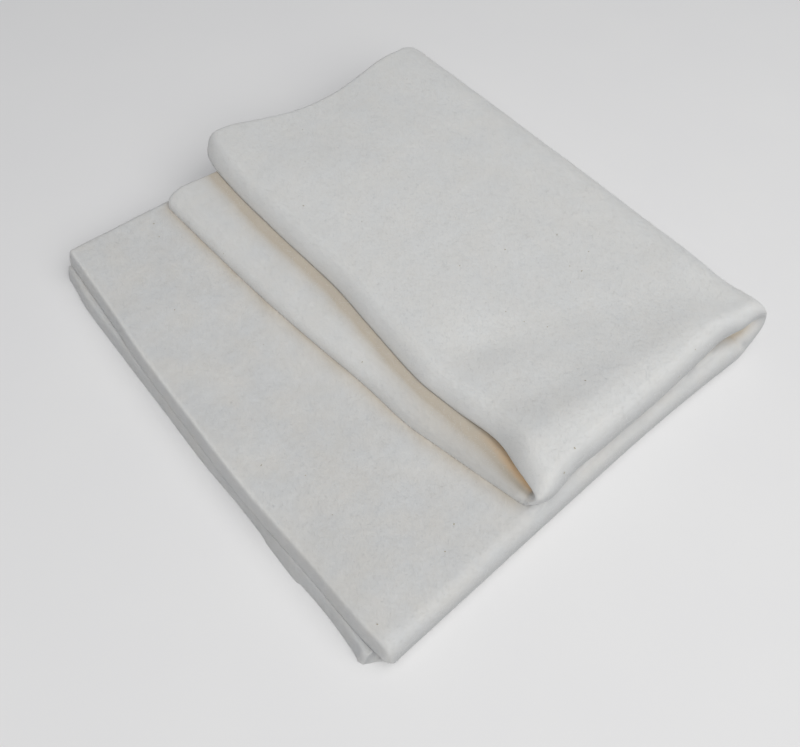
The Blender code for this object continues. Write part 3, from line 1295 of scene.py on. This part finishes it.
    def turned(self, tree: NodeTree, drawn: dict[str, NodeSocket], along_normal: NodeSocket) -> NodeSocket:
        """Turn each ribbon any way round the normal, and lean it a little.

        Args:
            tree: The node tree.
            drawn: The ribbon's random values.
            along_normal: Rotation that stands a ribbon on the surface.

        Returns:
            The ribbon's rotation.
        """
        result = along_normal
        for angles in ({"Z": drawn["spin"]}, {"X": drawn["roll"], "Y": drawn["nod"]}):
            turn = add_node(tree, "ShaderNodeCombineXYZ", None, angles).outputs[0]
            step = add_node(tree, "FunctionNodeEulerToRotation", None, {0: turn}).outputs[0]
            settings = {"rotation_space": "LOCAL"}
            sockets = {0: result, 1: step}
            result = add_node(tree, "FunctionNodeRotateRotation", settings, sockets).outputs[0]
        return result


def strew(sheet: Object, row: Growth, nodes: StrewnNodes) -> Object:
    """Strew one kind of thing over the sheet as a plain mesh of its own.

    Args:
        sheet: The sheet, with the mark that says where things may lie.
        row: What to strew.
        nodes: Maker of the node tree.

    Returns:
        The new object.
    """
    tree, inputs = nodes.build()
    carrier = put("carrier", sheet.data)
    modifier = carrier.modifiers.new("strewn", "NODES")
    modifier.node_group = tree
    for name, value in (
        ("Density", row.per_square_mm / MM**2),
        ("Length", row.length * MM),
        ("Rise", row.rise * MM),
        ("Width", row.width * MM),
        ("Lean", row.lean),
        ("Smallest", row.smallest),
        ("Largest", row.largest),
        ("Pieces", row.pieces),
        ("Seed", row.seed),
    ):
        modifier[inputs[name]] = value
    graph = bpy.context.evaluated_depsgraph_get()
    data = bpy.data.meshes.new_from_object(carrier.evaluated_get(graph))
    data.name = row.name
    bpy.data.objects.remove(carrier)
    return put(row.name, data)


@dataclass(frozen=True)
class MattePaperFloor(Finish):
    """White paper backdrop, uncoated: flat and even, with a trace of mottle in its pulp."""

    name: str = "uncoated_white_paper"
    paper: str = "#E7E7E7"
    pulp: str = "#E4E4E5"
    mottle_mm: float = 60.0
    roughness: float = 0.9
    specular: float = 0.1

    def shader(self, tree: NodeTree) -> dict[str, Any]:
        """Work out the shader's values.

        Args:
            tree: The material's tree.

        Returns:
            The value of each socket, or the output that feeds it, by name.
        """
        place = add_node(tree, "ShaderNodeTexCoord").outputs["Object"]
        sockets = {"Vector": place, "Scale": scale_for(self.mottle_mm)}
        mottle = add_node(tree, "ShaderNodeTexNoise", None, sockets).outputs["Fac"]
        sockets = {"Factor": mottle, "A": linear(self.paper), "B": linear(self.pulp)}
        tone = add_node(tree, "ShaderNodeMix", {"data_type": "RGBA"}, sockets).outputs["Result"]
        return {
            "Base Color": tone,
            "Roughness": self.roughness,
            "Specular IOR Level": self.specular,
        }


@dataclass(frozen=True)
class PortraitCamera:
    """Camera at the photograph's angle: above the cut corner, looking along both folds."""

    x: float = -43.78
    y: float = -37.71
    z: float = 305.77
    heading: float = 45.988
    tilt: float = -58.020
    roll: float = 4.145
    focal_pixels: float = 740.3
    image_width: float = 800.0
    sensor_width: float = 36.0
    nearest: float = 10.0

    def build(self, origin: Vector) -> Object:
        """Make the camera and put it to use.

        Args:
            origin: Origin of the sheet's own frame, in metres.

        Returns:
            The camera.
        """
        heading = math.radians(self.heading)
        tilt = math.radians(self.tilt)
        roll = math.radians(self.roll)
        ahead = Vector(
            (math.cos(tilt) * math.cos(heading), math.cos(tilt) * math.sin(heading), math.sin(tilt))
        )
        level = Vector((math.sin(heading), -math.cos(heading), 0.0))
        upright = level.cross(ahead)
        right = level * math.cos(roll) + upright * math.sin(roll)
        top = upright * math.cos(roll) - level * math.sin(roll)
        lens = bpy.data.cameras.new("portrait_camera")
        lens.sensor_fit = "HORIZONTAL"
        lens.sensor_width = self.sensor_width
        lens.lens = self.focal_pixels * self.sensor_width / self.image_width
        lens.clip_start = self.nearest * MM
        camera = put("portrait_camera", lens)
        placed = Matrix((right, top, -ahead)).transposed().to_4x4()
        placed.translation = origin + Vector((self.x, self.y, self.z)) * MM
        camera.matrix_world = placed
        bpy.context.scene.camera = camera
        return camera


@dataclass(frozen=True)
class Studio:
    """Plain pale floor, one large soft lamp over the long fold, and an even dim room."""

    floor_width: float = 6000.0
    lamp_toward: tuple[float, float, float] = (-0.05, -0.56, 1.0)
    lamp_distance: float = 1600.0
    lamp_width: float = 2600.0
    lamp_watts: float = 35.8
    lamp_colour: str = "#FFFEFC"
    room_colour: str = "#E8EDF8"
    room_strength: float = 0.16

    def build(self) -> Object:
        """Make the floor, the lamp and the room's light.

        Returns:
            The floor.
        """
        scene = bpy.context.scene
        scene.view_settings.view_transform = "Standard"
        shape = bmesh.new()
        bmesh.ops.create_grid(shape, x_segments=1, y_segments=1, size=self.floor_width / 2 * MM)
        data = bpy.data.meshes.new("studio_floor")
        shape.to_mesh(data)
        shape.free()
        data.materials.append(MattePaperFloor().build())
        floor = put("studio_floor", data)
        toward = Vector(self.lamp_toward).normalized()
        light = bpy.data.lights.new("soft_lamp", "AREA")
        light.shape = "DISK"
        light.size = self.lamp_width * MM
        light.energy = self.lamp_watts
        light.color = linear(self.lamp_colour)[:3]
        lamp = put("soft_lamp", light)
        placed = toward.to_track_quat("Z", "Y").to_matrix().to_4x4()
        placed.translation = toward * self.lamp_distance * MM
        lamp.matrix_world = placed
        world = bpy.data.worlds.new("even_room")
        world.use_nodes = True
        room = world.node_tree.nodes["Background"]
        room.inputs["Color"].default_value = linear(self.room_colour)
        room.inputs["Strength"].default_value = self.room_strength
        scene.world = world
        return floor


def report(piece: Object) -> None:
    """Say what was made and how many triangles it has."""
    piece.data.calc_loop_triangles()
    LOG.info("%s: %d triangles", piece.name, len(piece.data.loop_triangles))


def main() -> None:
    """Build the sheet, its finish and the studio, and declare every piece."""
    logging.basicConfig(level=logging.INFO, format="%(message)s")
    low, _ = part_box(NODE)
    origin = Vector((low[0] - LOWEST_X * MM, low[1] - LOWEST_Y * MM, low[2]))
    PortraitCamera().build(origin)
    Studio().build()
    sheet = FoldedSheet().build("folded_sheet", origin)
    Shelter().mark(sheet, origin)
    sheet.data.materials.append(WoolWadding().build())
    report(sheet)
    fibre = LooseFibre().build()
    crumb = PlantSpeck().build()
    for row in GROWTHS:
        finish = crumb if row.name == "plant_specks" else fibre
        piece = strew(sheet, row, StrewnNodes(finish))
        report(piece)
        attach(piece, BODY)
    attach(sheet, BODY)
    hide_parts(NODE)


if __name__ == "__main__":
    main()
